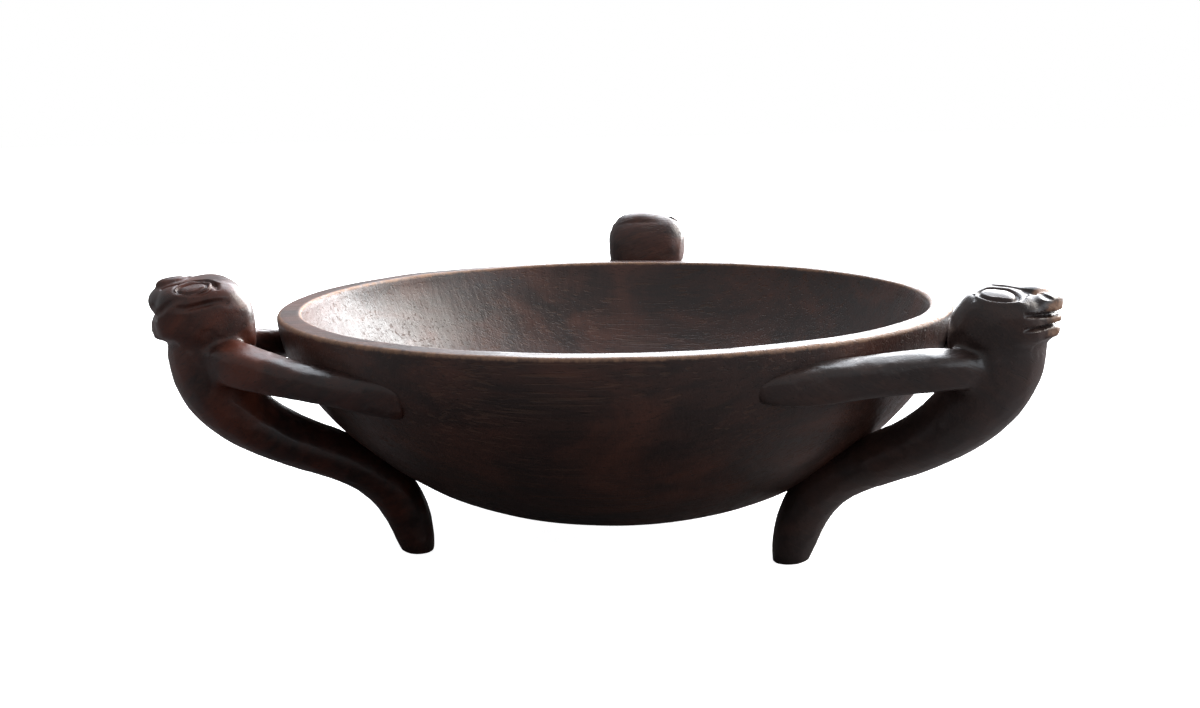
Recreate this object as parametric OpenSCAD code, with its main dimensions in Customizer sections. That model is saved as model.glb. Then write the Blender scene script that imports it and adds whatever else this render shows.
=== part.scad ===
// Carved wooden bowl held up by three leaning figures.
// Millimetres, +Z up. The origin is on the table, at the middle of the object's footprint.

/* [Bowl] */
// Outer radius of the rim
bowl_r = 150; // [140:1:165]
// Height of the flat rim above the table
rim_h = 106; // [100:1:115]
// Height of the bowl's underside above the table
belly_h = 11; // [9:0.5:16]
// Thickness of the wall at the rim
rim_wall = 10; // [8:0.5:12]
// Thickness of the bowl's floor
floor_wall = 14; // [12:0.5:18]
// Rounding of the rim's two edges
rim_edge = 1.2; // [0.5:0.1:2.5]

/* [Figures] */
// Distance from the bowl's axis to a figure's lips
reach = 202; // [198:1:212]
// Height of the top of a head above the table
head_h = 126; // [122:1:134]
// Width of a head
head_w = 42; // [36:1:46]
// Width of a chest, without the arms
chest_w = 37; // [32:1:42]
// Width of a foot
foot_w = 22; // [18:1:28]
// Angle round the bowl from a figure's middle to its finger ends
hand_angle = 34; // [30:1:38]
// Height of a palm above the table
hand_h = 88; // [82:1:92]

/* [Pegs] */
// Diameter of the peg in each hip
hip_peg_d = 9; // [7:0.5:11]
// Length of the peg in each hip
hip_peg_l = 16; // [12:1:18]
// Diameter of the peg in each palm
hand_peg_d = 4; // [3:0.5:5]
// Length of the peg in each palm
hand_peg_l = 9; // [7:0.5:10]
// Gap for glue round every peg and between wood and wood
glue = 0.05; // [0.02:0.01:0.1]

/* [Hidden] */
FIGURES = [["left_figure", 210], ["right_figure", 330], ["back_figure", 90]];

// The bowl's axis stands here, so that the footprint's middle is at the origin.
axis_y = (bowl_r - reach) / 2;

// Wall curve: radius falls as cos^bulge while depth grows as sin^drop.
bulge = 0.73;
drop = 1.42;
curve_steps = 30;
inner_r = bowl_r - rim_wall;
inner_h = belly_h + floor_wall;

// Skins over the figures
ring_sides = 18;
arm_sides = 12;
steps_between = 2;

dark_wood = "#3a1f17";
peg_wood = "#8a6844";

function radius_at(share, r) = r * pow(cos(90 * share), bulge);
function height_at(share, low) = rim_h - (rim_h - low) * pow(sin(90 * share), drop);
function wall_curve(r, low) =
    [for (i = [0:curve_steps]) [radius_at(i / curve_steps, r), height_at(i / curve_steps, low)]];

// Share of the way down the outer curve at which it passes a height
function share_at(h) = asin(pow((rim_h - h) / (rim_h - belly_h), 1 / drop)) / 90;
function outer_radius(h) = radius_at(share_at(h), bowl_r);

// Tilt of the outer surface's normal below the horizontal, at a height
function outer_tilt(h) =
    let (a = outer_radius(h + 0.5), b = outer_radius(h - 0.5)) atan2(a - b, 1);

// ---- Smooth skins ----

function blend(a, b, c, d, t) =
    0.5 * (2 * b + (c - a) * t + (2 * a - 5 * b + 4 * c - d) * t * t
        + (3 * b - a - 3 * c + d) * t * t * t);

function smooth(list) = let (last = len(list) - 1) [
    for (i = [0:last - 1], k = [0:steps_between - 1])
        blend(list[max(i - 1, 0)], list[i], list[i + 1], list[min(i + 2, last)], k / steps_between),
    list[last]
];

function soft(x, power) = sign(x) * pow(abs(x), power);

// One ring of points: half sizes a along u and b along v, boxier as power falls below 1
function ring(centre, u, v, a, b, sides, power) = [
    for (k = [0:sides - 1])
        centre + a * soft(cos(360 * k / sides), power) * u + b * soft(sin(360 * k / sides), power) * v
];

module skin(rings) {
    n = len(rings[0]);
    top = len(rings) - 1;
    faces = concat(
        [[for (k = [0:n - 1]) k]],
        [for (i = [0:top - 1], k = [0:n - 1]) [i * n + k, (i + 1) * n + k, i * n + (k + 1) % n]],
        [for (i = [0:top - 1], k = [0:n - 1])
            [i * n + (k + 1) % n, (i + 1) * n + k, (i + 1) * n + (k + 1) % n]],
        [[for (k = [n - 1:-1:0]) top * n + k]]
    );
    polyhedron(points = [for (r = rings) each r], faces = faces);
}

// ---- The figure, standing out along +X from the bowl's axis ----

// Body from foot to neck: [outwards from the rim, height, half thickness, half width]
body_stations = [
    [-55.5, -5, 5.5, foot_w / 2 - 2],
    [-54.5, 1, 7.5, foot_w / 2 - 0.5],
    [-53, 9, 9, foot_w / 2],
    [-50.5, 18, 9.8, foot_w / 2 + 0.5],
    [-46, 27.5, 10.5, foot_w / 2 + 1.5],
    [-38, 37.5, 10.8, foot_w / 2 + 2.5],
    [-25, 46, 11.2, 14],
    [-8, 54, 12, 15],
    [7, 63, 13.4, 16],
    [18.5, 73.5, 14.8, chest_w / 2 - 1.5],
    [26, 84.5, 15.6, chest_w / 2],
    [29, 95, 15.2, chest_w / 2 - 1],
    [30, 104, 13.5, chest_w / 2 - 3.5]
];

module body() {
    path = smooth(body_stations);
    last = len(path) - 1;
    skin([
        for (i = [0:last])
            let (
                s = path[i],
                ahead = path[min(i + 1, last)] - path[max(i - 1, 0)],
                long = norm([ahead.x, ahead.y]),
                across = [ahead.y, 0, -ahead.x] / long
            )
            ring([bowl_r + s.x, 0, s.y], across, [0, 1, 0], s[2], s[3], ring_sides, 0.85)
    ]);
}

// Head from crown to lips: [outwards from the rim, height below the top, half height, half width]
head_stations = [
    [10, 15, 6.5, head_w / 2 - 9],
    [11, 14.5, 9.5, head_w / 2 - 5],
    [14.5, 14, 12, head_w / 2 - 1.5],
    [21, 13.5, 13, head_w / 2],
    [29, 13.5, 13.5, head_w / 2 - 0.5],
    [38, 14, 12.8, head_w / 2 - 3],
    [45.5, 14.5, 10.8, head_w / 2 - 7],
    [reach - bowl_r - 2, 15, 9, head_w / 2 - 10],
    [reach - bowl_r, 15.5, 6, head_w / 2 - 13]
];

module head() {
    skin([
        for (s = smooth(head_stations))
            ring([bowl_r + s.x, 0, head_h - s.y], [0, 1, 0], [0, 0, 1], s[3], s[2], ring_sides, 0.7)
    ]);
}

// Arm from shoulder to finger ends: [angle round the bowl, outwards from the wall, height,
// half thickness, half height]
arm_stations = [
    [0.06, 37, hand_h + 4.5, 8, 9],
    [0.15, 30, hand_h + 5, 8.5, 8.8],
    [0.3, 20, hand_h + 5, 7.2, 8],
    [0.47, 11, hand_h + 3.5, 6.2, 7.2],
    [0.64, 4, hand_h + 2, 5.8, 6.8],
    [0.8, 0, hand_h, 5.8, 6.8],
    [0.92, -1.6, hand_h - 1, 5.8, 6.6],
    [1, -2.6, hand_h - 1.5, 5.2, 6]
];

function arm_point(s) =
    let (r = outer_radius(hand_h) + s[1]) [r * cos(hand_angle * s[0]), r * sin(hand_angle * s[0]), s[2]];

module arm() {
    path = smooth(arm_stations);
    last = len(path) - 1;
    skin([
        for (i = [0:last])
            let (
                ahead = arm_point(path[min(i + 1, last)]) - arm_point(path[max(i - 1, 0)]),
                across = [-ahead.y, ahead.x, 0] / norm([ahead.x, ahead.y])
            )
            ring(arm_point(path[i]), across, [0, 0, 1], path[i][3], path[i][4], arm_sides, 0.9)
    ]);
}

// ---- Pegs, in the figure's own frame ----

hip_h = 45;
palm_angle = 0.76 * hand_angle;
hip_in_bowl = 0.5;
palm_in_bowl = 0.55;

// A peg square to the bowl's outer surface, with part of its length in the wall
module peg(h, angle, d, l, in_bowl) {
    rotate([0, 0, angle])
        translate([outer_radius(h), 0, h])
            rotate([0, 90 + outer_tilt(h), 0])
                translate([0, 0, -l * in_bowl])
                    cylinder(d = d, h = l, $fn = 48);
}

module hip_peg(grow = 0) {
    peg(hip_h, 0, hip_peg_d + 2 * grow, hip_peg_l + 2 * grow, hip_in_bowl);
}

module hand_peg(side, grow = 0) {
    peg(hand_h, side * palm_angle, hand_peg_d + 2 * grow, hand_peg_l + 2 * grow, palm_in_bowl);
}

module pegs(grow = 0) {
    hip_peg(grow);
    hand_peg(1, grow);
    hand_peg(-1, grow);
}

// ---- The bowl ----

module bowl_section() {
    outer = wall_curve(bowl_r, belly_h);
    inner = wall_curve(inner_r, inner_h);
    corners = [
        [inner_r + rim_edge, rim_h],
        [bowl_r - rim_edge, rim_h]
    ];
    polygon(concat(
        corners,
        [for (i = [1:curve_steps]) outer[i]],
        [for (i = [curve_steps:-1:1]) inner[i]]
    ));
}

// Everything inside the outer surface, with room for the glue
module bowl_space() {
    rotate_extrude($fn = 180)
        polygon(concat(
            [[0, rim_h + 40], [bowl_r + glue, rim_h + 40]],
            [for (p = wall_curve(bowl_r, belly_h)) p + [p.x > 0 ? glue : 0, -glue]]
        ));
}

module bowl() {
    color(dark_wood)
        difference() {
            rotate_extrude($fn = 180) bowl_section();
            for (f = FIGURES) rotate([0, 0, f[1]]) pegs(glue);
        }
}

module figure() {
    color(dark_wood)
        difference() {
            union() {
                body();
                head();
                arm();
                mirror([0, 1, 0]) arm();
            }
            translate([0, -bowl_r, -20]) cube([2 * bowl_r, 2 * bowl_r, 20]);
            bowl_space();
            pegs(glue);
        }
}

module place(angle = 0) {
    translate([0, axis_y, 0]) rotate([0, 0, angle]) children();
}

place() bowl();
for (f = FIGURES) {
    place(f[1]) figure();
    place(f[1]) color(peg_wood) hip_peg();
    place(f[1]) color(peg_wood) hand_peg(1);
    place(f[1]) color(peg_wood) hand_peg(-1);
}
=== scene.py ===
# %% [markdown]
# # A carved wooden bowl on three figures
# This lesson builds a shallow hardwood bowl that is carried by three leaning figures. Each cell
# makes one thing. The pieces come out in metres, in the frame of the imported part, so nothing has
# to be fitted afterwards. We begin by loading that frame and noting its box.

# %% Load the frame
import math

import bpy
import numpy as np
from mathutils import Matrix, Vector
from mathutils.kdtree import KDTree


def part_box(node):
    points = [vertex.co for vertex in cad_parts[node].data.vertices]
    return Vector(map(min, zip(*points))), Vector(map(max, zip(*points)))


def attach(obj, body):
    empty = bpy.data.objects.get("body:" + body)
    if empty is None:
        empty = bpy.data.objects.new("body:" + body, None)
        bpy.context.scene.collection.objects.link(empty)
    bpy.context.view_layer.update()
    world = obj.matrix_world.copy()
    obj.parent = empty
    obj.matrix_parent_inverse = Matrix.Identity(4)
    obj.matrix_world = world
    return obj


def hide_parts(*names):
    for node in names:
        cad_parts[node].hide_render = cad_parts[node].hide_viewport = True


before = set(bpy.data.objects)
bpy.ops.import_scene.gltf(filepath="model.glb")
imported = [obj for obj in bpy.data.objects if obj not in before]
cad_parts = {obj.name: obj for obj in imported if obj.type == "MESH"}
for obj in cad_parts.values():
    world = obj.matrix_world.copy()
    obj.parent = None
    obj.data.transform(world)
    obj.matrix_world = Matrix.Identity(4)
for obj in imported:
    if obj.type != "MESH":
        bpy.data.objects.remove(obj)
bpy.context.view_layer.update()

MM = 0.001
BOWL_LOW, BOWL_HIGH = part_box("bowl")
AXIS_Y = (BOWL_LOW[1] + BOWL_HIGH[1]) / 2
print("nodes:", len(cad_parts), "bowl axis at y =", round(AXIS_Y, 4))

# %% [markdown]
# ## Small hand tools
# In edit mode an operator works on whatever is selected, so every tool first clears the
# selection. Without a window the rotate operator turns the other way round and needs its centre
# given, so one helper hides that.

# %% Selecting and turning
def clear():
    """Select nothing."""
    bpy.ops.object.select_all(action="DESELECT")


def take(obj):
    """Select one object and make it the active one."""
    clear()
    obj.select_set(True)
    bpy.context.view_layer.objects.active = obj
    return obj


def edit(obj):
    """Open one object in edit mode, with all of it selected."""
    take(obj)
    bpy.ops.object.mode_set(mode="EDIT")
    bpy.ops.mesh.select_all(action="SELECT")


def done():
    """Leave edit mode."""
    bpy.ops.object.mode_set(mode="OBJECT")
    return bpy.context.object


def turn(angle, axis, centre):
    """Turn what is selected, right-handed about the axis."""
    bpy.ops.transform.rotate(value=-angle, orient_axis=axis, center_override=centre)


def finish_with(obj, kind, **settings):
    """Add a modifier, set it up and apply it."""
    take(obj)
    modifier = obj.modifiers.new(kind.title(), kind)
    for key, value in settings.items():
        setattr(modifier, key, value)
    bpy.ops.object.modifier_apply(modifier=modifier.name)
    return obj


def points_of(obj):
    """All the points of a mesh, one row each."""
    flat = np.empty(len(obj.data.vertices) * 3)
    obj.data.vertices.foreach_get("co", flat)
    return flat.reshape(-1, 3)


def normals_of(obj):
    flat = np.empty(len(obj.data.vertices) * 3)
    obj.data.vertices.foreach_get("normal", flat)
    return flat.reshape(-1, 3)


def put_points(obj, points):
    obj.data.vertices.foreach_set("co", points.ravel())
    obj.data.update()


print("hand tools ready")

# %% [markdown]
# ## The bowl's section
# A bowl like this is hollowed with an adze and trued by eye, so it is round but never quite. We
# draw half its section as a line of points and spin it. The curve is steep at the rim and nearly
# flat underneath: the radius follows a power of a cosine and the depth a power of a sine.

# %% Draw the section
RIM_R = (BOWL_HIGH[0] - BOWL_LOW[0]) / 2
RIM_Z = BOWL_HIGH[2]
BELLY_Z = BOWL_LOW[2]
RIM_WALL = 10 * MM
FLOOR_WALL = 14 * MM
BULGE = 0.73
DROP = 1.42
FULLER = 2.2 * MM


def wall_point(share, radius, low):
    a = share * math.pi / 2
    return (
        radius * max(math.cos(a), 0) ** BULGE,
        RIM_Z - (RIM_Z - low) * math.sin(a) ** DROP,
    )


def fuller(z):
    """How much the wall stands out from the plain curve below the rim."""
    depth = np.clip((RIM_Z - np.asarray(z, float)) / (RIM_Z - BELLY_Z), 0, 0.6)
    return FULLER * np.sin(math.pi * depth / 0.6)


def wall_radius(z):
    """Radius of the bowl's outer surface at a height."""
    depth = np.clip((RIM_Z - np.asarray(z, float)) / (RIM_Z - BELLY_Z), 0, 1)
    return RIM_R * (1 - depth ** (2 / DROP)) ** (BULGE / 2) + fuller(z)


WALL_STEPS = 72
RIM_ROUND = 1.4 * MM
outer = [wall_point(i / WALL_STEPS, RIM_R, BELLY_Z) for i in range(WALL_STEPS + 1)]
outer = [(r + float(fuller(z)), z) for r, z in outer]
inner = [
    wall_point(i / WALL_STEPS, RIM_R - RIM_WALL, BELLY_Z + FLOOR_WALL)
    for i in range(WALL_STEPS + 1)
]
corner = [(RIM_R - RIM_ROUND * (1 - math.cos(a)), RIM_Z - RIM_ROUND * (1 - math.sin(a)))
          for a in (0.0, 0.4, 0.8, 1.2, math.pi / 2)]
flat = [(RIM_R - RIM_ROUND - k * (RIM_WALL - 2 * RIM_ROUND) / 5, RIM_Z) for k in range(1, 5)]
lip = [(2 * RIM_R - RIM_WALL - r, z) for r, z in reversed(corner)]
below = [p for p in outer if p[1] < RIM_Z - RIM_ROUND * 1.3]
inside = [p for p in inner if p[1] < RIM_Z - RIM_ROUND * 1.3]
section = below[::-1] + corner + flat + lip + inside
print("section points:", len(section))

# %% Spin it into a bowl
SPIN_STEPS = 480
clear()
bpy.ops.mesh.primitive_plane_add(size=0.01, location=(section[0][0], AXIS_Y, section[0][1]))
bowl = bpy.context.object
bowl.name = "carved_bowl"
bpy.ops.object.transform_apply(location=True, rotation=True, scale=True)
edit(bowl)
bpy.ops.mesh.merge(type="CENTER")
for here, there in zip(section, section[1:]):
    step = (there[0] - here[0], 0, there[1] - here[1])
    bpy.ops.mesh.extrude_region_move(TRANSFORM_OT_translate={"value": step})
bpy.ops.mesh.select_all(action="SELECT")
bpy.ops.mesh.spin(steps=SPIN_STEPS, angle=2 * math.pi, center=(0, AXIS_Y, 0), axis=(0, 0, 1))
bpy.ops.mesh.select_all(action="SELECT")
bpy.ops.mesh.remove_doubles(threshold=0.00001)
bpy.ops.mesh.normals_make_consistent(inside=False)
done()
print("bowl faces:", len(bowl.data.polygons))

# %% [markdown]
# ## The carver's hand
# Tool marks are shallow flats left by the blade, and longer waves left by the eye. A flat is
# made by choosing points over the surface and pressing the skin near each one part of the way
# to the plane there. A stroke is a groove or ridge along a line. Both only move points a little.

# %% Marks, strokes and waves
def flats(obj, spacing, amount, seed, where=None, deepest=0.6 * MM):
    """Press the skin towards planes at scattered points, as a knife leaves it."""
    points, normals = points_of(obj), normals_of(obj)
    rng = np.random.default_rng(seed)
    picked, taken = [], set()
    for i in rng.permutation(len(points)):
        cell = tuple(np.floor(points[i] / spacing).astype(int))
        if cell not in taken:
            taken.add(cell)
            picked.append(i)
    tree = KDTree(len(picked))
    for n, i in enumerate(picked):
        tree.insert(points[i], n)
    tree.balance()
    moved = points.copy()
    for k in range(len(points)):
        i = picked[tree.find(points[k])[1]]
        gap = float(np.dot(points[k] - points[i], normals[i]))
        if np.dot(normals[i], normals[k]) > 0.6:
            gap = max(-deepest, min(deepest, gap))
            moved[k] -= normals[i] * gap * amount
    if where is not None:
        moved = points + (moved - points) * where(points)[:, None]
    put_points(obj, moved)


def distance_to_path(points, path):
    """Distance from each point to a line of points, and how far along it the nearest spot is."""
    best = np.full(len(points), 1e9)
    along = np.zeros(len(points))
    legs = len(path) - 1
    for i in range(legs):
        a, b = np.array(path[i]), np.array(path[i + 1])
        d = b - a
        t = np.clip((points - a) @ d / max(float(d @ d), 1e-12), 0, 1)
        far = np.linalg.norm(points - (a + t[:, None] * d), axis=1)
        near = far < best
        best[near] = far[near]
        along[near] = ((i + t) / legs)[near]
    return best, along


def stroke(obj, path, width, depth, taper=0.15, facing=None, soft=2.0):
    """Cut a groove along a path, or raise a ridge with a negative depth."""
    points, normals = points_of(obj), normals_of(obj)
    far, along = distance_to_path(points, path)
    shape = np.clip(1 - (far / width) ** 2, 0, 1) ** soft
    if taper > 0:
        shape *= np.clip(np.minimum(along, 1 - along) / taper, 0, 1) ** 0.5
    if facing is not None:
        shape *= np.clip(normals @ np.array(facing) * 3, 0, 1)
    put_points(obj, points - normals * (shape * depth)[:, None])


print("carving tools ready")

# %% The bowl's uneven surface
LONG_WAVE = (0.07, 1.0 * MM)
SHORT_WAVE = (0.025, 0.35 * MM)


def wave(obj, size, strength, seed):
    """Push the skin in and out with a soft cloud pattern of one size."""
    texture = bpy.data.textures.new(f"{obj.name}_wave_{seed}", "CLOUDS")
    texture.noise_scale = size
    texture.noise_depth = 1
    finish_with(obj, "DISPLACE", texture=texture, texture_coords="LOCAL", strength=strength,
                mid_level=0.5)


wave(bowl, *LONG_WAVE, 1)
wave(bowl, *SHORT_WAVE, 2)
print("bowl box:", [round(v, 4) for v in bowl.dimensions])

# %% [markdown]
# ## How a figure is drawn out
# Each figure is one piece of wood: a trunk that curves from a narrow foot up to a deep chest, two
# arms that reach back round the bowl, and a head thrown back. We work in the figure's own frame,
# with x outwards from the bowl's axis, y across the figure and z up. A ring is extruded from
# station to station, and each time turned flat, resized, and turned on to its new lean. A limb
# could also be a curve with a bevel, but the ring lets us set both half sizes at every station.

# %% Drawing a limb out of a ring
CORNER = 0.62


def lean_between(a, b, flat_axis):
    """How far the limb leans between two centres."""
    if flat_axis == "Y":
        return math.atan2(b[0] - a[0], b[2] - a[2])
    return math.atan2(b[1] - a[1], b[0] - a[0])


def draw_limb(name, stations, turn_axis, sides=16, square=False, tip=0.0):
    """Stations are (centre, first half size, second half size), all in mm."""
    centres = [Vector(s[0]) * MM for s in stations]
    leans = []
    for i in range(len(centres)):
        a, b = centres[max(i - 1, 0)], centres[min(i + 1, len(centres) - 1)]
        leans.append(lean_between(a, b, turn_axis))
    clear()
    if square:
        bpy.ops.mesh.primitive_plane_add(size=2)
    else:
        bpy.ops.mesh.primitive_circle_add(vertices=sides, radius=1, fill_type="NGON")
    limb = bpy.context.object
    limb.name = name
    edit(limb)
    if square:
        bpy.ops.mesh.bevel(offset=CORNER, segments=3, affect="VERTICES")
        bpy.ops.mesh.select_all(action="SELECT")
    upright = turn_axis == "Z"
    if upright:
        turn(math.pi / 2, "Y", (0, 0, 0))
        turn(tip, "X", (0, 0, 0))

    def size_by(first, second, centre):
        value = (1, first, second) if upright else (first, second, 1)
        bpy.ops.transform.resize(value=value, center_override=centre)

    first, second = stations[0][1] * MM, stations[0][2] * MM
    size_by(first, second, (0, 0, 0))
    turn(leans[0], turn_axis, (0, 0, 0))
    bpy.ops.transform.translate(value=centres[0])
    for i in range(1, len(stations)):
        step = centres[i] - centres[i - 1]
        bpy.ops.mesh.extrude_region_move(TRANSFORM_OT_translate={"value": step})
        turn(-leans[i - 1], turn_axis, centres[i])
        size_by(stations[i][1] * MM / first, stations[i][2] * MM / second, centres[i])
        turn(leans[i], turn_axis, centres[i])
        first, second = stations[i][1] * MM, stations[i][2] * MM
    bpy.ops.mesh.select_all(action="SELECT")
    bpy.ops.mesh.normals_make_consistent(inside=False)
    done()
    finish_with(limb, "SUBSURF", levels=2, render_levels=2)
    return limb


print("limb drawing ready")

# %% [markdown]
# ## The proportions of the three figures
# The same carver cut all three, but by eye, so they differ by a millimetre or two. The left one
# has a tall square head, a round nose and hands cut off square. The right one has a flatter
# snout with thin lips, and hands that fade into the wall. The back one is like the left one, with
# a head a little taller and broader. Every size below is a plain list, easy to try again.

# %% Stations of trunk and arms
# Trunk: outwards from the rim, height, half thickness, half width
TRUNK = [
    (-56.0, -6.0, 5.0, 8.8), (-55.0, 1.0, 7.6, 10.6), (-53.4, 9.0, 9.2, 11.2),
    (-50.8, 18.0, 10.0, 11.8), (-46.3, 27.5, 10.8, 12.8), (-38.0, 37.5, 11.1, 13.8),
    (-25.0, 46.0, 11.5, 14.4), (-8.0, 54.0, 12.3, 15.4), (7.0, 63.0, 13.7, 16.5),
    (18.5, 73.5, 15.2, 17.6), (26.0, 84.5, 16.0, 19.2), (29.0, 95.0, 15.6, 19.8),
    (30.0, 105.0, 14.0, 19.0), (30.0, 112.0, 11.0, 15.0),
]
# How far each figure's trunk strays outwards from those stations, and how much thinner it is
HEIGHTS = [0, 20, 30, 46, 60, 75, 85, 95, 105]
LEFT_STRAY = [1.7, 1.7, 1.8, 3.1, 4.8, 4.2, 2.6, 1.5, 1.2]
RIGHT_STRAY = [-1.5, -1.5, -1.2, -0.3, -0.4, 0.2, 1.2, 2.6, 2.9]
BACK_STRAY = [0, 0, 0, 0, 0, 0, 0, 0, 0]
THINNER = [0, 0, 0.2, 1.0, 1.6, 1.1, 0.3, 0.0, 0.0]
# Arm: degrees round the bowl, outwards from the wall, height, half thickness, half height
ARM_SQUARE = [
    (0.8, 23.0, 93.0, 5.5, 6.8), (3.4, 27.5, 94.0, 7.2, 8.4), (6.4, 27.8, 94.4, 7.9, 8.9),
    (10.2, 20.5, 92.6, 7.4, 8.3), (16.0, 11.0, 89.2, 6.3, 6.6), (21.8, 4.0, 87.3, 5.9, 6.4),
    (27.0, 0.2, 86.4, 5.7, 7.1), (31.5, -2.5, 86.0, 5.4, 7.6), (34.0, -3.6, 85.8, 5.2, 7.5),
    (34.6, -4.1, 85.8, 4.9, 7.0),
]
ARM_FADED = [
    (0.8, 23.0, 91.5, 5.5, 5.6), (3.4, 27.5, 92.6, 7.2, 6.7), (6.4, 28.0, 94.0, 7.9, 7.2),
    (10.2, 20.5, 94.9, 7.4, 7.3), (16.0, 11.0, 93.7, 6.5, 7.1), (21.8, 4.2, 92.2, 6.1, 7.4),
    (25.5, 0.8, 91.4, 5.7, 7.4), (28.6, -1.4, 91.0, 5.2, 6.4), (30.8, -3.2, 90.7, 4.7, 5.2),
    (32.4, -4.8, 90.5, 3.9, 4.0),
]
ARM_TIP = math.radians(14)
print("trunk stations:", len(TRUNK), "arm stations:", len(ARM_SQUARE), len(ARM_FADED))

# %% Stations of the heads, and the lumps of the faces
# Head: outwards from the axis, bottom, top, half width
HEAD_SQUARE = [
    (160.5, 96.0, 112.0, 11.0), (162.0, 95.5, 117.5, 16.0), (165.0, 95.0, 122.2, 19.2),
    (169.5, 95.0, 125.8, 20.8), (175.0, 95.3, 127.3, 21.4), (181.0, 96.2, 126.6, 21.3),
    (187.0, 98.5, 125.6, 20.0), (192.5, 101.2, 124.8, 17.8), (196.0, 102.4, 123.2, 15.2),
    (199.4, 103.4, 118.5, 11.5),
]
HEAD_FLAT = [
    (163.5, 97.0, 107.0, 8.0), (165.0, 96.0, 112.2, 13.0), (168.0, 95.5, 118.0, 17.0),
    (172.0, 95.5, 122.9, 19.8), (177.5, 96.5, 124.2, 21.2), (185.0, 98.5, 123.6, 20.8),
    (191.5, 101.0, 122.0, 18.2), (196.5, 103.5, 120.2, 14.8), (199.3, 105.0, 117.2, 11.0),
]
# Lumps pressed onto the face: kind, centre (outwards, across, height), half sizes
KNOBS_SQUARE = [
    ("ball", (194.6, 0.0, 117.6), (6.0, 11.5, 5.9)), ("ball", (189.0, 0.0, 124.3), (8.5, 3.8, 3.0)),
    ("disc", (187.5, 0.0, 107.2), (12.6, 15.5, 4.6)),
]
KNOBS_FLAT = [
    ("ball", (195.6, 0.0, 119.0), (6.0, 9.5, 3.0)), ("ball", (190.0, 0.0, 121.4), (8.0, 3.4, 2.1)),
    ("disc", (189.0, 0.0, 116.6), (12.6, 14.4, 1.7)),
    ("disc", (189.0, 0.0, 112.4), (12.7, 14.2, 1.5)),
    ("disc", (188.0, 0.0, 107.6), (12.8, 14.0, 2.2)),
]
# The flat head's nose, which the slopes of the brow run up to: outwards, height
NOSE_RIDGE = [(187.0, 0.0), (192.5, 122.8), (196.0, 121.8), (202.0, 119.2)]
# Lift and broad stretch the head, slant slopes its top, and crown raises a ridge along it.
FIGURES = {
    "left_figure": dict(angle=210, stray=LEFT_STRAY, arm=ARM_SQUARE, head=HEAD_SQUARE,
                        lift=0.0, broad=1.0, slant=0.0, crown=0.0, ridge=None,
                        knobs=KNOBS_SQUARE, seed=11),
    "right_figure": dict(angle=330, stray=RIGHT_STRAY, arm=ARM_FADED, head=HEAD_FLAT,
                         lift=0.0, broad=1.0, slant=0.2, crown=0.0, ridge=NOSE_RIDGE,
                         knobs=KNOBS_FLAT, seed=12),
    "back_figure": dict(angle=91.2, stray=BACK_STRAY, arm=ARM_SQUARE, head=HEAD_SQUARE,
                        lift=3.2, broad=1.055, slant=0.1, crown=1.9, ridge=None,
                        knobs=KNOBS_SQUARE, seed=13),
}
print("figures:", list(FIGURES))

# %% Trunk and arms
def draw_trunk(name, shape):
    stations = []
    for out, z, thick, wide in TRUNK:
        stray = float(np.interp(z, HEIGHTS, shape["stray"]))
        thick -= float(np.interp(z, HEIGHTS, THINNER))
        stations.append(((RIM_R / MM + out + stray, 0, z), thick, wide))
    return draw_limb(f"{name}_trunk", stations, "Y")


def draw_arm(name, shape, side):
    stations = []
    for degrees, out, z, thick, tall in shape["arm"]:
        a = math.radians(degrees) * side
        r = float(wall_radius(z * MM)) / MM + out
        stations.append(((r * math.cos(a), r * math.sin(a), z), thick, tall))
    return draw_limb(f"{name}_arm", stations, "Z", square=True, tip=ARM_TIP * side)


print("trunk and arms ready to draw")

# %% Head block and the knobs of the face
def draw_head(shape):
    """A square with rounded corners, pulled out along the head and resized at each station."""
    clear()
    bpy.ops.mesh.primitive_plane_add(size=2)
    head = bpy.context.object
    edit(head)
    bpy.ops.mesh.bevel(offset=CORNER, segments=3, affect="VERTICES")
    bpy.ops.mesh.select_all(action="SELECT")
    turn(math.pi / 2, "Y", (0, 0, 0))
    last = (1.0, 1.0, Vector((0, 0, 0)))
    for i, (out, low, high, wide) in enumerate(shape["head"]):
        high += shape["lift"]
        wide *= shape["broad"]
        centre = Vector((out, 0, (low + high) / 2)) * MM
        tall = (high - low) / 2 * MM
        wide *= MM
        if i:
            step = centre - last[2]
            bpy.ops.mesh.extrude_region_move(TRANSFORM_OT_translate={"value": step})
        else:
            bpy.ops.transform.translate(value=centre)
        value = (1, wide / last[0], tall / last[1])
        bpy.ops.transform.resize(value=value, center_override=centre)
        last = (wide, tall, centre)
    bpy.ops.mesh.select_all(action="SELECT")
    bpy.ops.mesh.normals_make_consistent(inside=False)
    done()
    finish_with(head, "SUBSURF", levels=2, render_levels=2)
    return head


def draw_knobs(shape):
    """Balls for the nose, and flat discs with rounded edges for lips and chin."""
    knobs = []
    for kind, centre, half in shape["knobs"]:
        clear()
        place = dict(location=Vector(centre) * MM, scale=Vector(half) * MM)
        if kind == "ball":
            bpy.ops.mesh.primitive_uv_sphere_add(segments=32, ring_count=16, radius=1, **place)
        else:
            bpy.ops.mesh.primitive_cylinder_add(vertices=40, radius=1, depth=2, **place)
        bpy.ops.object.transform_apply(location=True, rotation=True, scale=True)
        knob = bpy.context.object
        if kind == "disc":
            finish_with(knob, "BEVEL", width=half[2] * 0.55 * MM, segments=3, limit_method="ANGLE")
        knobs.append(knob)
    return knobs


print("figure parts ready")

# %% [markdown]
# ## The hollow each figure fits round
# The figures bear on the bowl, so each one is cut to its wall. The cutter is the bowl's outer
# shape spun as a solid, half a millimetre small, so that no crack shows where the wall waves.

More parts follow.
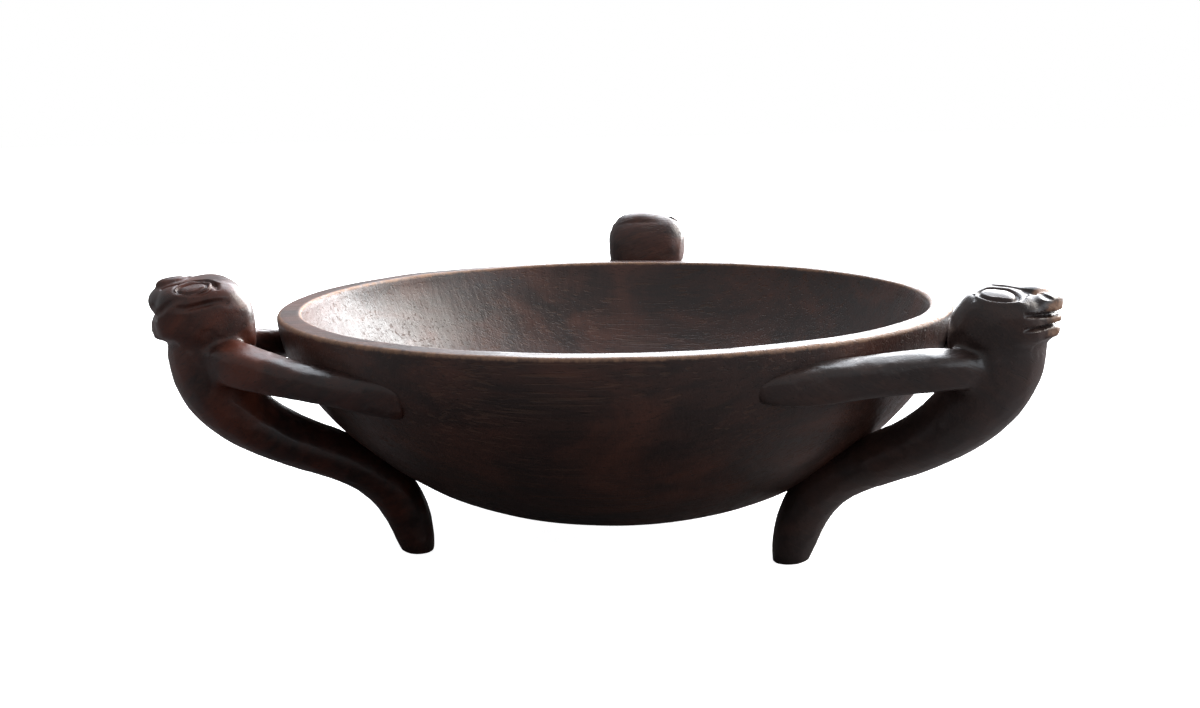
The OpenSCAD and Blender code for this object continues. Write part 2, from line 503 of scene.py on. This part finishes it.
# %% The cutter
CUT_IN = 0.5 * MM
CUTTER_STEPS = 288
cut_line = [(0.0, RIM_Z + 0.05), (RIM_R - CUT_IN, RIM_Z + 0.05), (RIM_R - CUT_IN, RIM_Z)]
cut_line += [(max(r - CUT_IN, 0.0), z + CUT_IN * 0.6) for r, z in outer[2::2]]
clear()
bpy.ops.mesh.primitive_plane_add(size=0.01, location=(cut_line[0][0], 0, cut_line[0][1]))
cutter = bpy.context.object
cutter.name = "bowl_cutter"
bpy.ops.object.transform_apply(location=True, rotation=True, scale=True)
edit(cutter)
bpy.ops.mesh.merge(type="CENTER")
for here, there in zip(cut_line, cut_line[1:]):
    step = (there[0] - here[0], 0, there[1] - here[1])
    bpy.ops.mesh.extrude_region_move(TRANSFORM_OT_translate={"value": step})
bpy.ops.mesh.select_all(action="SELECT")
bpy.ops.mesh.spin(steps=CUTTER_STEPS, angle=2 * math.pi, center=(0, 0, 0), axis=(0, 0, 1))
bpy.ops.mesh.select_all(action="SELECT")
bpy.ops.mesh.remove_doubles(threshold=0.00001)
bpy.ops.mesh.normals_make_consistent(inside=False)
done()
print("cutter faces:", len(cutter.data.polygons))

# %% [markdown]
# ## The lines of the faces
# Each groove is a rough line of points near the head. We drop the points onto the skin and cut
# along them, once for each side of the face. A negative depth raises a ridge, as round an eye.

# %% Lines of the face
def on_skin(obj, line):
    """Move the points of a rough line onto the nearest spots of the carving."""
    path = []
    for point in line:
        hit, spot, _, _ = obj.closest_point_on_mesh(Vector(point) * MM)
        if hit:
            path.append(tuple(spot))
    return path


def knife(obj, lift, side):
    """A tool that cuts lines on one side of a face. Lift raises them with a taller head."""
    def cut(line, width, depth, taper):
        path = [(out, across * side, z + lift) for out, across, z in line]
        stroke(obj, on_skin(obj, path), width * MM, depth * MM, taper)
    return cut


def oval(centre, half_out, half_across, drop, steps=32):
    """A ring lying on the slanted top of the head. Drop is how far its outer side hangs."""
    ring = []
    for k in range(steps + 1):
        a = 2 * math.pi * k / steps
        ring.append((centre[0] + half_out * math.cos(a), centre[1] + half_across * math.sin(a),
                     centre[2] - drop * math.sin(a)))
    return ring


MOUTH = [(199.5 - 0.012 * t * t, t, 112.4) for t in range(-12, 13, 2)]
NOSTRIL = [(198.6, 11.4, 113.6), (196.5, 14.5, 115.6), (194.3, 16.2, 117.9), (191.3, 17.4, 120.0),
           (187.5, 18.7, 121.0)]
CHEEK = [(191.5, 18.2, 116.8), (187.5, 19.5, 116.4), (183.0, 20.6, 117.4), (177.0, 21.2, 118.7),
         (171.0, 20.8, 119.0)]
BROW = [(196.0, 5.5, 122.8), (190.5, 7.2, 124.8), (185.0, 8.0, 125.8), (179.0, 10.6, 126.4),
        (175.6, 15.0, 125.8), (175.4, 18.8, 123.6)]
LIPS = [114.5, 110.1]


def carve_square_face(obj, lift):
    """Ringed eyes, brow, nostril folds, cheeks and a wide mouth."""
    for side in (1, -1):
        cut = knife(obj, lift, side)
        cut(oval((184.4, 14.3, 124.3), 6.9, 4.6, 2.1), 1.1, -0.45, 0)
        cut(oval((184.2, 14.0, 124.4), 8.0, 5.9, 2.5), 1.0, 0.6, 0)
        cut(oval((184.4, 14.9, 124.3), 5.6, 3.0, 1.7), 1.1, 0.85, 0)
        cut(BROW, 1.7, 1.8, 0.2)
        cut(NOSTRIL, 2.1, 0.7, 0.3)
        cut(CHEEK, 1.9, 1.2, 0.35)
    stroke(obj, on_skin(obj, MOUTH), 1.9 * MM, 0.9 * MM, 0.1)


def carve_flat_face(obj, lift):
    """Oval eyes, a narrow nose, and two deep grooves that leave three lips."""
    for side in (1, -1):
        cut = knife(obj, lift, side)
        cut([(174.6, 16.5, 121.8), (181.2, 19.3, 120.3), (186.4, 18.6, 120.0),
             (191.7, 16.2, 119.9), (195.5, 14.2, 118.6)], 2.2, -0.35, 0.2)
        cut(oval((183.6, 13.2, 122.8), 7.4, 5.1, 1.6), 1.35, 1.2, 0)
        cut([(180.6, 13.2, 123.2), (186.6, 13.2, 122.6)], 4.2, -0.55, 0)
        cut([(177.0, 5.5, 124.2), (183.0, 4.6, 124.0), (189.0, 3.8, 123.0), (194.5, 3.9, 121.5)],
            1.3, 0.8, 0.25)
        cut([(188.8, 4.8, 123.0), (192.2, 5.0, 122.0), (194.8, 5.1, 121.0)], 1.7, 1.0, 0.3)
        cut([(175.4, 14.8, 122.8), (175.8, 17.5, 121.6), (177.0, 19.6, 119.8)], 1.2, 0.8, 0.3)
    for z in LIPS:
        line = [(201.5 - 0.045 * t * t, t, z) for t in range(-14, 15, 2)]
        stroke(obj, on_skin(obj, line), 1.25 * MM, 2.2 * MM, 0.12)


print("face lines ready")

# %% [markdown]
# ## Carving a figure
# The limbs are joined and remeshed into one skin, as one piece of wood has one surface, and
# smoothed until the joins flow, most of all at the shoulders. Then come the knobs of the face, the
# knife's flats and the slopes of the brow. Only then is the head's mesh made finer, for the lines.
# Last the back is cut to the bowl and the foot is sawn level.

# %% Skin, shoulders and brow
VOXEL = 0.8 * MM
FACE_FROM = (174 * MM, 104.5 * MM)
SHOULDER_LOW, SHOULDER_HIGH, SHOULDER_WIDE, SHOULDER_BACK = 72, 101, 34, 150
SHOULDER_FADE = 8
SHOULDER_ROUNDS = 75
BROW_FROM = 168
NOSE_HALF = 4.5


def melt(parts, smoothing):
    """Join parts, give them one skin and smooth the joins."""
    clear()
    for part in parts:
        part.select_set(True)
    bpy.context.view_layer.objects.active = parts[0]
    bpy.ops.object.join()
    melted = bpy.context.object
    finish_with(melted, "REMESH", mode="VOXEL", voxel_size=VOXEL)
    finish_with(melted, "SMOOTH", factor=0.5, iterations=smoothing)
    return melted


def refine_face(obj):
    """Give the head's outer part a finer mesh, so that thin grooves come out crisp."""
    edit(obj)
    bpy.ops.mesh.select_mode(type="FACE")
    bpy.ops.mesh.select_all(action="DESELECT")
    done()
    for face in obj.data.polygons:
        x, y, z = face.center
        face.select = x > FACE_FROM[0] and z > FACE_FROM[1]
    bpy.ops.object.mode_set(mode="EDIT")
    bpy.ops.mesh.subdivide(number_cuts=1)
    bpy.ops.mesh.select_mode(type="VERT")
    done()


def soften_shoulders(obj):
    """Smooth only the chest and the roots of the arms, so that they flow into each other."""
    points = points_of(obj) / MM
    inside = np.minimum(points[:, 2] - SHOULDER_LOW, SHOULDER_HIGH - points[:, 2])
    inside = np.minimum(inside, SHOULDER_WIDE - np.abs(points[:, 1]))
    share = np.clip(inside / SHOULDER_FADE, 0, 1) * (points[:, 0] > SHOULDER_BACK)
    group = obj.vertex_groups.new(name="shoulders")
    for level in (0.25, 0.5, 0.75, 1.0):
        group.add(np.nonzero(share >= level)[0].tolist(), level, "REPLACE")
    finish_with(obj, "SMOOTH", factor=0.5, iterations=SHOULDER_ROUNDS,
                vertex_group="shoulders")
    obj.vertex_groups.clear()


def slant_brow(obj, shape):
    """Pare the top of the head down to two flat slopes, one each side of the nose."""
    points = points_of(obj)
    stations = np.array(shape["head"])
    top = np.interp(points[:, 0] / MM, stations[:, 0], stations[:, 2]) + shape["lift"]
    if shape["ridge"]:
        ridge = np.array(shape["ridge"])
        top = np.maximum(top, np.interp(points[:, 0] / MM, ridge[:, 0], ridge[:, 1]))
    across = np.abs(points[:, 1]) / MM
    limit = (top - shape["slant"] * (across - 2.5)) * MM
    pared = (across > NOSE_HALF) & (points[:, 0] > BROW_FROM * MM) & (points[:, 2] > limit)
    points[pared, 2] = limit[pared]
    put_points(obj, points)


print("skin tools ready")

# %% Carve the three figures
def raise_crown(obj, height):
    """A low ridge along the top of the head, a little to one side."""
    line = [(r, 4.0, 131.0) for r in range(164, 191, 4)]
    stroke(obj, on_skin(obj, line), 17 * MM, -height * MM, 0.25, (0, 0, 1))


def carve_figure(name, shape):
    """Join, smooth, carve, fit to the bowl and set in place round it."""
    body = melt([draw_trunk(name, shape), draw_arm(name, shape, 1), draw_arm(name, shape, -1),
                 draw_head(shape)], 12)
    soften_shoulders(body)
    figure = melt([body] + draw_knobs(shape), 3)
    figure.name = f"carved_{name}"
    flats(figure, 9 * MM, 0.4, shape["seed"],
          where=lambda p: np.where(p[:, 2] > 117 * MM, 0.5, 1.0))
    finish_with(figure, "SMOOTH", factor=0.5, iterations=4)
    if shape["slant"]:
        slant_brow(figure, shape)
    refine_face(figure)
    if shape["crown"]:
        raise_crown(figure, shape["crown"])
    if shape["head"] is HEAD_FLAT:
        carve_flat_face(figure, shape["lift"])
    else:
        carve_square_face(figure, shape["lift"])
    finish_with(figure, "BOOLEAN", object=cutter, operation="DIFFERENCE", solver="MANIFOLD")
    edit(figure)
    bpy.ops.mesh.bisect(plane_co=(0, 0, 0), plane_no=(0, 0, -1), clear_outer=True, use_fill=True)
    bpy.ops.mesh.select_all(action="SELECT")
    turn(math.radians(shape["angle"]), "Z", (0, 0, 0))
    bpy.ops.transform.translate(value=(0, AXIS_Y, 0))
    done()
    return figure


figures = {}
for name, shape in FIGURES.items():
    figures[name] = carve_figure(name, shape)
    print(name, "faces:", len(figures[name].data.polygons),
          "box:", [round(v, 4) for v in figures[name].dimensions])
bpy.data.objects.remove(cutter)

# %% [markdown]
# ## Where hands have worn the wood
# A dark oiled surface wears pale where it is touched: along the rim's edges, on lips, nose tips
# and finger ends. Each piece carries a number from 0 to 1 at every point, called worn, and the
# wood's finish reads it. It is rubbed on along lines, the way a hand would.

# %% Rubbing wear on
def rub(obj, paths, width, amount):
    """Raise the worn number near some lines, most of all right on them."""
    points = points_of(obj)
    if "worn" not in obj.data.attributes:
        obj.data.attributes.new("worn", "FLOAT", "POINT")
    data = obj.data.attributes["worn"].data
    worn = np.empty(len(points))
    data.foreach_get("value", worn)
    for path in paths:
        far, _ = distance_to_path(points, path)
        worn = np.maximum(worn, amount * np.clip(1 - (far / width) ** 2, 0, 1))
    data.foreach_set("value", worn)


def ring_path(radius, z, steps=90):
    return [(radius * math.cos(2 * math.pi * k / steps),
             AXIS_Y + radius * math.sin(2 * math.pi * k / steps), z) for k in range(steps + 1)]


def in_place(shape, point):
    """A point of the figure's own frame, in millimetres, as it stands round the bowl."""
    a = math.radians(shape["angle"])
    r, t, z = point
    return ((r * math.cos(a) - t * math.sin(a)) * MM,
            AXIS_Y + (r * math.sin(a) + t * math.cos(a)) * MM, z * MM)


rub(bowl, [ring_path(RIM_R, RIM_Z - 0.3 * MM), ring_path(RIM_R - RIM_WALL, RIM_Z)],
    2.4 * MM, 0.8)
for name, shape in FIGURES.items():
    obj = figures[name]
    flat_face = shape["head"] is HEAD_FLAT
    lips = [[in_place(shape, (203, t, z)) for t in range(-10, 11, 4)]
            for z in ((117, 112, 107.5) if flat_face else (118, 113))]
    rub(obj, lips, (6 if flat_face else 5) * MM, 0.85 if flat_face else 0.45)
    if flat_face:
        nose = [in_place(shape, (r, t, 121)) for r, t in ((194.5, -3), (196.5, 0), (194.5, 3))]
        rub(obj, [nose], 4.2 * MM, 0.9)
    for side in (1, -1):
        a = math.radians(33 if flat_face else 34.6) * side
        end = [in_place(shape, (147 * math.cos(a), 147 * math.sin(a), z)) for z in (78, 91)]
        rub(obj, [end], 2.2 * MM, 0.45)
print("wear rubbed on")

# %% [markdown]
# ## Finishes for the wood
# Three effects are shared by every wooden surface, so each is a node group. Grain gives long
# streaks along the log, broad patches, pores and soft dents. Scratches gives fine short marks in
# several directions. Wear breaks the worn number up with noise, so pale edges look rubbed.

# %% Node group helpers
def new_group(name, inputs, outputs):
    """An empty node group with its sockets, and its two end nodes."""
    group = bpy.data.node_groups.new(name, "ShaderNodeTree")
    for label, kind, value in inputs:
        socket = group.interface.new_socket(label, in_out="INPUT", socket_type=kind)
        if value is not None:
            socket.default_value = value
    for label, kind in outputs:
        group.interface.new_socket(label, in_out="OUTPUT", socket_type=kind)
    return group, group.nodes.new("NodeGroupInput"), group.nodes.new("NodeGroupOutput")


def node(tree, kind, inputs=(), **settings):
    """Add a node. An input may be a plain value or another node's output."""
    made = tree.nodes.new(kind)
    for key, value in settings.items():
        setattr(made, key, value)
    for key, value in dict(inputs).items():
        if isinstance(value, bpy.types.NodeSocket):
            tree.links.new(value, made.inputs[key])
        else:
            made.inputs[key].default_value = value
    return made


def maths(tree, operation, a, b=0.0, clamp=False):
    return node(tree, "ShaderNodeMath", {0: a, 1: b}, operation=operation,
                use_clamp=clamp).outputs[0]


def ramp(tree, value, low, high):
    """0 below low, 1 above high, smooth between."""
    return node(tree, "ShaderNodeMapRange", {"Value": value, "From Min": low, "From Max": high},
                interpolation_type="SMOOTHSTEP", clamp=True).outputs["Result"]


def blend(tree, share, a, b):
    """Mix two colours."""
    made = node(tree, "ShaderNodeMix", {"Factor": share}, data_type="RGBA")
    for label, value in (("A", a), ("B", b)):
        socket = [s for s in made.inputs if s.name == label and s.type == "RGBA"][0]
        if isinstance(value, bpy.types.NodeSocket):
            tree.links.new(value, socket)
        else:
            socket.default_value = value
    return [s for s in made.outputs if s.type == "RGBA"][0]


def noise(tree, vector, scale, detail=3.0, rough=0.5, distort=0.0):
    return node(tree, "ShaderNodeTexNoise",
                {"Vector": vector, "Scale": scale, "Detail": detail, "Roughness": rough,
                 "Distortion": distort}).outputs["Fac"]


def mapped(tree, vector, scale=(1, 1, 1), rotation=(0, 0, 0)):
    return node(tree, "ShaderNodeMapping",
                {"Vector": vector, "Scale": scale, "Rotation": rotation}).outputs[0]


print("node helpers ready")

# %% Grain
GRAIN, g_in, g_out = new_group(
    "Grain",
    [("Vector", "NodeSocketVector", None), ("Streak Scale", "NodeSocketFloat", 26.0),
     ("Patch Scale", "NodeSocketFloat", 14.0)],
    [("Streaks", "NodeSocketFloat"), ("Patches", "NodeSocketFloat"), ("Pores", "NodeSocketFloat"),
     ("Dents", "NodeSocketFloat")])
along = mapped(GRAIN, g_in.outputs["Vector"], (1, 7, 7))
streaks = noise(GRAIN, along, g_in.outputs["Streak Scale"], 5, 0.6, 0.6)
GRAIN.links.new(ramp(GRAIN, streaks, 0.34, 0.68), g_out.inputs["Streaks"])
patches = noise(GRAIN, mapped(GRAIN, g_in.outputs["Vector"], (1, 1.3, 1.8)),
                g_in.outputs["Patch Scale"], 4, 0.55, 1.2)
GRAIN.links.new(ramp(GRAIN, patches, 0.4, 0.68), g_out.inputs["Patches"])
pores = noise(GRAIN, mapped(GRAIN, g_in.outputs["Vector"], (1, 9, 9)), 170, 2, 0.5)
GRAIN.links.new(ramp(GRAIN, pores, 0.58, 0.72), g_out.inputs["Pores"])
dents = noise(GRAIN, mapped(GRAIN, g_in.outputs["Vector"], (1, 1, 0.45)), 210, 2, 0.6)
GRAIN.links.new(dents, g_out.inputs["Dents"])

# %% Scratches
SCRATCHES, s_in, s_out = new_group(
    "Scratches", [("Vector", "NodeSocketVector", None), ("Density", "NodeSocketFloat", 0.5)],
    [("Marks", "NodeSocketFloat")])
marks = None
for k, (angle, lift, fine) in enumerate([(0.3, 0.2, 260), (1.25, 0.5, 210), (2.2, -0.4, 240),
                                         (2.9, 0.9, 180)]):
    lines = mapped(SCRATCHES, s_in.outputs["Vector"], (0.022, 1, 1), (lift, 0.3 * k, angle))
    cut = ramp(SCRATCHES, noise(SCRATCHES, lines, fine * 3.2, 1, 0.3), 0.63, 0.69)
    gate = ramp(SCRATCHES, noise(SCRATCHES, mapped(SCRATCHES, s_in.outputs["Vector"],
                                                   (1, 1, 1), (0, 0, angle + k)), 17 + 6 * k, 1),
                0.46, 0.6)
    cut = maths(SCRATCHES, "MULTIPLY", cut, gate)
    marks = cut if marks is None else maths(SCRATCHES, "MAXIMUM", marks, cut)
SCRATCHES.links.new(maths(SCRATCHES, "MULTIPLY", marks, s_in.outputs["Density"]),
                    s_out.inputs["Marks"])

# %% Wear
WEAR, w_in, w_out = new_group(
    "Wear", [("Vector", "NodeSocketVector", None), ("Worn", "NodeSocketFloat", 0.0)],
    [("Mask", "NodeSocketFloat")])
broken = noise(WEAR, w_in.outputs["Vector"], 320, 4, 0.65)
raised = maths(WEAR, "ADD", w_in.outputs["Worn"], maths(WEAR, "MULTIPLY", broken, 0.9))
WEAR.links.new(ramp(WEAR, raised, 0.85, 1.35), w_out.inputs["Mask"])
print("groups:", [g.name for g in bpy.data.node_groups])

# %% [markdown]
# ## The dark polished hardwood
# The wood is oiled nearly black over a red-brown heart. Its colour goes from dark to red with
# the patches and streaks, and to a pale dry brown where it is worn. The polish is a thin coat
# over a duller body, rougher in the scratches and where worn. The bowl alone has upright gouges:
# the noise is read on a circle round its axis, so each mark runs up the wall and no seam shows.

# %% Marks of the gouge
def gouges(tree):
    """Narrow upright marks all round the bowl, left by a tool drawn up and down the wall."""
    here = tree.nodes.new("ShaderNodeTexCoord").outputs["Object"]
    off = node(tree, "ShaderNodeVectorMath", {0: here, 1: (0, -AXIS_Y, 0)}, operation="ADD")
    flat = node(tree, "ShaderNodeVectorMath", {0: off.outputs[0], 1: (1, 1, 0)},
                operation="MULTIPLY")
    around = node(tree, "ShaderNodeVectorMath", {0: flat.outputs[0]}, operation="NORMALIZE")
    height = node(tree, "ShaderNodeVectorMath", {0: off.outputs[0], 1: (0.6, 0.6, 2.2)},
                  operation="MULTIPLY")
    both = node(tree, "ShaderNodeVectorMath", {0: around.outputs[0], 1: height.outputs[0]},
                operation="ADD")
    marks = node(tree, "ShaderNodeTexNoise", {"Vector": both.outputs[0], "Scale": 24.0,
                                              "Detail": 5.0, "Roughness": 0.62})
    return marks.outputs["Fac"]


print("gouge marks ready")

# %% Wood finish
def wood(name, dark, red, pale, rough=0.4, coat=0.35, coat_rough=0.18, streak=26.0, patch=14.0,
         scratch=0.5, redness=0.6, turned=(0, 0, 0), bump=0.35, dent=1.0, gouge=0.0):
    """Dark and red are the two ends of the colour, pale is where it is worn."""
    made = bpy.data.materials.new(name)
    made.use_nodes = True
    tree = made.node_tree
    shader = tree.nodes["Principled BSDF"]
    place = mapped(tree, tree.nodes.new("ShaderNodeTexCoord").outputs["Object"],
                   rotation=turned)
    grain = node(tree, "ShaderNodeGroup", node_tree=GRAIN)
    tree.links.new(place, grain.inputs["Vector"])
    grain.inputs["Streak Scale"].default_value = streak
    grain.inputs["Patch Scale"].default_value = patch
    marks = node(tree, "ShaderNodeGroup", node_tree=SCRATCHES)
    tree.links.new(place, marks.inputs["Vector"])
    marks.inputs["Density"].default_value = scratch
    wear = node(tree, "ShaderNodeGroup", node_tree=WEAR)
    tree.links.new(place, wear.inputs["Vector"])
    worn = node(tree, "ShaderNodeAttribute", attribute_name="worn").outputs["Fac"]
    tree.links.new(worn, wear.inputs["Worn"])
    share = maths(tree, "MULTIPLY", grain.outputs["Patches"], redness)
    share = maths(tree, "ADD", share,
                  maths(tree, "MULTIPLY", grain.outputs["Streaks"], 0.35 * redness), clamp=True)
    colour = blend(tree, share, dark, red)
    colour = blend(tree, maths(tree, "MULTIPLY", grain.outputs["Pores"], 0.55), colour,
                   tuple(c * 0.35 for c in dark[:3]) + (1,))
    colour = blend(tree, maths(tree, "MULTIPLY", marks.outputs["Marks"], 0.14), colour, pale)
    colour = blend(tree, wear.outputs["Mask"], colour, pale)
    tree.links.new(colour, shader.inputs["Base Color"])
    dull = maths(tree, "ADD", maths(tree, "MULTIPLY", grain.outputs["Streaks"], 0.1), rough)
    dull = maths(tree, "ADD", dull, maths(tree, "MULTIPLY", marks.outputs["Marks"], 0.25))
    dull = maths(tree, "ADD", dull, maths(tree, "MULTIPLY", wear.outputs["Mask"], 0.25), True)
    tree.links.new(dull, shader.inputs["Roughness"])
    gloss = maths(tree, "SUBTRACT", 1.0, maths(tree, "MAXIMUM", marks.outputs["Marks"],
                                                wear.outputs["Mask"]))
    tree.links.new(maths(tree, "MULTIPLY", gloss, coat), shader.inputs["Coat Weight"])
    shader.inputs["Coat Roughness"].default_value = coat_rough
    cut = maths(tree, "ADD", grain.outputs["Pores"],
                maths(tree, "MULTIPLY", marks.outputs["Marks"], 2.0))
    height = maths(tree, "SUBTRACT", maths(tree, "MULTIPLY", grain.outputs["Streaks"], 0.25), cut)
    height = maths(tree, "ADD", height, maths(tree, "MULTIPLY", grain.outputs["Dents"], dent))
    if gouge:
        height = maths(tree, "ADD", height, maths(tree, "MULTIPLY", gouges(tree), gouge))
    relief = node(tree, "ShaderNodeBump", {"Height": height, "Strength": bump,
                                           "Distance": 0.00012})
    tree.links.new(relief.outputs["Normal"], shader.inputs["Normal"])
    return made


print("wood finish ready")

# %% Each piece gets its wood
PALE = (0.30, 0.165, 0.10, 1)
bowl_wood = wood("dark_bowl_wood", (0.031, 0.0195, 0.0175, 1), (0.125, 0.047, 0.031, 1), PALE,
                 rough=0.36, coat=0.15, coat_rough=0.2, scratch=0.8, bump=0.5, dent=1.8,
                 gouge=5.0)
left_wood = wood("red_figure_wood", (0.017, 0.0072, 0.006, 1), (0.105, 0.024, 0.011, 1), PALE,
                 rough=0.34, coat=0.2, turned=(0.2, 0.4, 0.6), scratch=0.25, redness=0.8, patch=15)
right_wood = wood("dark_figure_wood", (0.026, 0.018, 0.017, 1), (0.07, 0.032, 0.024, 1), PALE,
                  rough=0.32, coat=0.2, turned=(0.1, -0.5, -0.6), scratch=0.25, redness=0.5,
                  patch=22)
peg_wood = wood("plain_peg_wood", (0.30, 0.17, 0.09, 1), (0.42, 0.25, 0.13, 1),
                (0.5, 0.36, 0.22, 1), rough=0.6, coat=0.0, scratch=0.1, bump=0.5)
back_wood = wood("brown_figure_wood", (0.024, 0.0135, 0.0125, 1), (0.105, 0.035, 0.022, 1), PALE,
                 rough=0.36, coat=0.15, turned=(1.2, 0.1, 0.3), scratch=0.6, redness=0.7, patch=18,
                 bump=0.45, dent=1.6)
finishes = {"left_figure": left_wood, "right_figure": right_wood, "back_figure": back_wood}
bowl.data.materials.clear()
bowl.data.materials.append(bowl_wood)
for name, obj in figures.items():
    obj.data.materials.clear()
    obj.data.materials.append(finishes[name])
for name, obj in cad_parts.items():
    if name.endswith("_peg"):
        for spot in obj.material_slots:
            spot.material = peg_wood
print("materials:", [m.name for m in bpy.data.materials if m.users])

# %% Hand the pieces over
for obj in [bowl, *figures.values()]:
    take(obj)
    bpy.ops.object.shade_smooth_by_angle(angle=math.radians(50))
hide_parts("bowl")
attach(bowl, "root")
for name, obj in figures.items():
    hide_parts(name)
    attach(obj, "root")
print("handed over:", bowl.name, *[obj.name for obj in figures.values()])

# %% [markdown]
# ## Floor, light and camera
# The bowl stands on pale paper with a tall bright window behind it, so that its rim and shoulders
# catch the light and its front stays dark. The window has three panes, brightest on the right,
# with another window further round and open sky above. The paper looks white to the camera but
# throws back little light, which keeps the belly dark.

# %% Floor
clear()
bpy.ops.mesh.primitive_plane_add(size=30, location=(0, 0, 0))
floor = bpy.context.object
floor.name = "floor"
paper = bpy.data.materials.new("floor_paper")
paper.use_nodes = True
tree = paper.node_tree
tree.nodes.clear()
seen = tree.nodes.new("ShaderNodeLightPath").outputs["Is Camera Ray"]
white = node(tree, "ShaderNodeBsdfDiffuse", {"Color": (0.9, 0.9, 0.9, 1)})
dim = node(tree, "ShaderNodeBsdfDiffuse", {"Color": (0.12, 0.11, 0.11, 1)})
glow = node(tree, "ShaderNodeEmission", {"Color": (1, 1, 1, 1), "Strength": 0.92})
lit = node(tree, "ShaderNodeAddShader", {0: white.outputs[0], 1: glow.outputs[0]})
mixed = node(tree, "ShaderNodeMixShader", {0: seen, 1: dim.outputs[0], 2: lit.outputs[0]})
node(tree, "ShaderNodeOutputMaterial", {"Surface": mixed.outputs[0]})
floor.data.materials.append(paper)
print("floor:", floor.name)

# %% World
scene = bpy.context.scene
scene.view_settings.view_transform = "Standard"
world = bpy.data.worlds.new("studio")
scene.world = world
world.use_nodes = True
tree = world.node_tree
tree.nodes.clear()
seen = tree.nodes.new("ShaderNodeLightPath").outputs["Is Camera Ray"]
paint = node(tree, "ShaderNodeBackground", {"Color": (1, 1, 1, 1), "Strength": 1.0})
room = node(tree, "ShaderNodeBackground", {"Color": (0.95, 0.97, 1.0, 1), "Strength": 0.4})
mixed = node(tree, "ShaderNodeMixShader", {0: seen, 1: room.outputs[0], 2: paint.outputs[0]})
node(tree, "ShaderNodeOutputWorld", {"Surface": mixed.outputs[0]})
print("world:", world.name)

# %% Camera
camera_data = bpy.data.cameras.new("camera")
camera = bpy.data.objects.new("camera", camera_data)
scene.collection.objects.link(camera)
camera_data.sensor_width = 36
camera_data.lens = 37.02
camera_data.clip_start = 0.01
camera.location = (0.0752, AXIS_Y - 0.556, 0.1841)
HEADING, TILT, ROLL = math.radians(8.42), math.radians(79.42), math.radians(-1.1)
look = (Matrix.Rotation(HEADING, 3, "Z") @ Matrix.Rotation(TILT, 3, "X")
        @ Matrix.Rotation(ROLL, 3, "Z"))
camera.rotation_euler = look.to_euler()
scene.camera = camera
print("camera at", [round(v, 3) for v in camera.location])

# %% Window and fill light
def area_light(name, azimuth, elevation, distance, size, radiance, colour=(1, 1, 1)):
    """Azimuth is to the right of the camera's heading. Radiance is what a mirror would show."""
    data = bpy.data.lights.new(name, "AREA")
    data.shape = "RECTANGLE"
    data.size, data.size_y = size
    data.energy = radiance * math.pi * size[0] * size[1]
    data.color = colour
    lamp = bpy.data.objects.new(name, data)
    scene.collection.objects.link(lamp)
    a, e = math.radians(azimuth) - HEADING, math.radians(elevation)
    away = Vector((math.sin(a) * math.cos(e), math.cos(a) * math.cos(e), math.sin(e)))
    middle = Vector((0, AXIS_Y, 0.08))
    lamp.location = middle + away * distance
    lamp.rotation_euler = (middle - lamp.location).to_track_quat("-Z", "Y").to_euler()
    lamp.visible_camera = False
    return lamp


area_light("window_left_pane", 4.8, 21.0, 3.0, (1.10, 2.2), 6.0, (0.92, 0.95, 1.0))
area_light("window_middle_pane", 24.5, 21.0, 3.0, (0.84, 2.2), 12.0, (0.97, 0.98, 1.0))
area_light("window_right_pane", 45.0, 21.0, 3.0, (1.0, 2.2), 20.0)
area_light("side_window", 74.0, 34.0, 3.0, (1.4, 1.7), 9.0, (1.0, 0.94, 0.87))
area_light("sky_light", 14.0, 57.0, 3.0, (3.2, 1.5), 5.0, (0.86, 0.92, 1.0))
area_light("room_fill", 118.0, 20.0, 2.5, (1.6, 1.4), 1.6, (0.84, 0.92, 1.0))
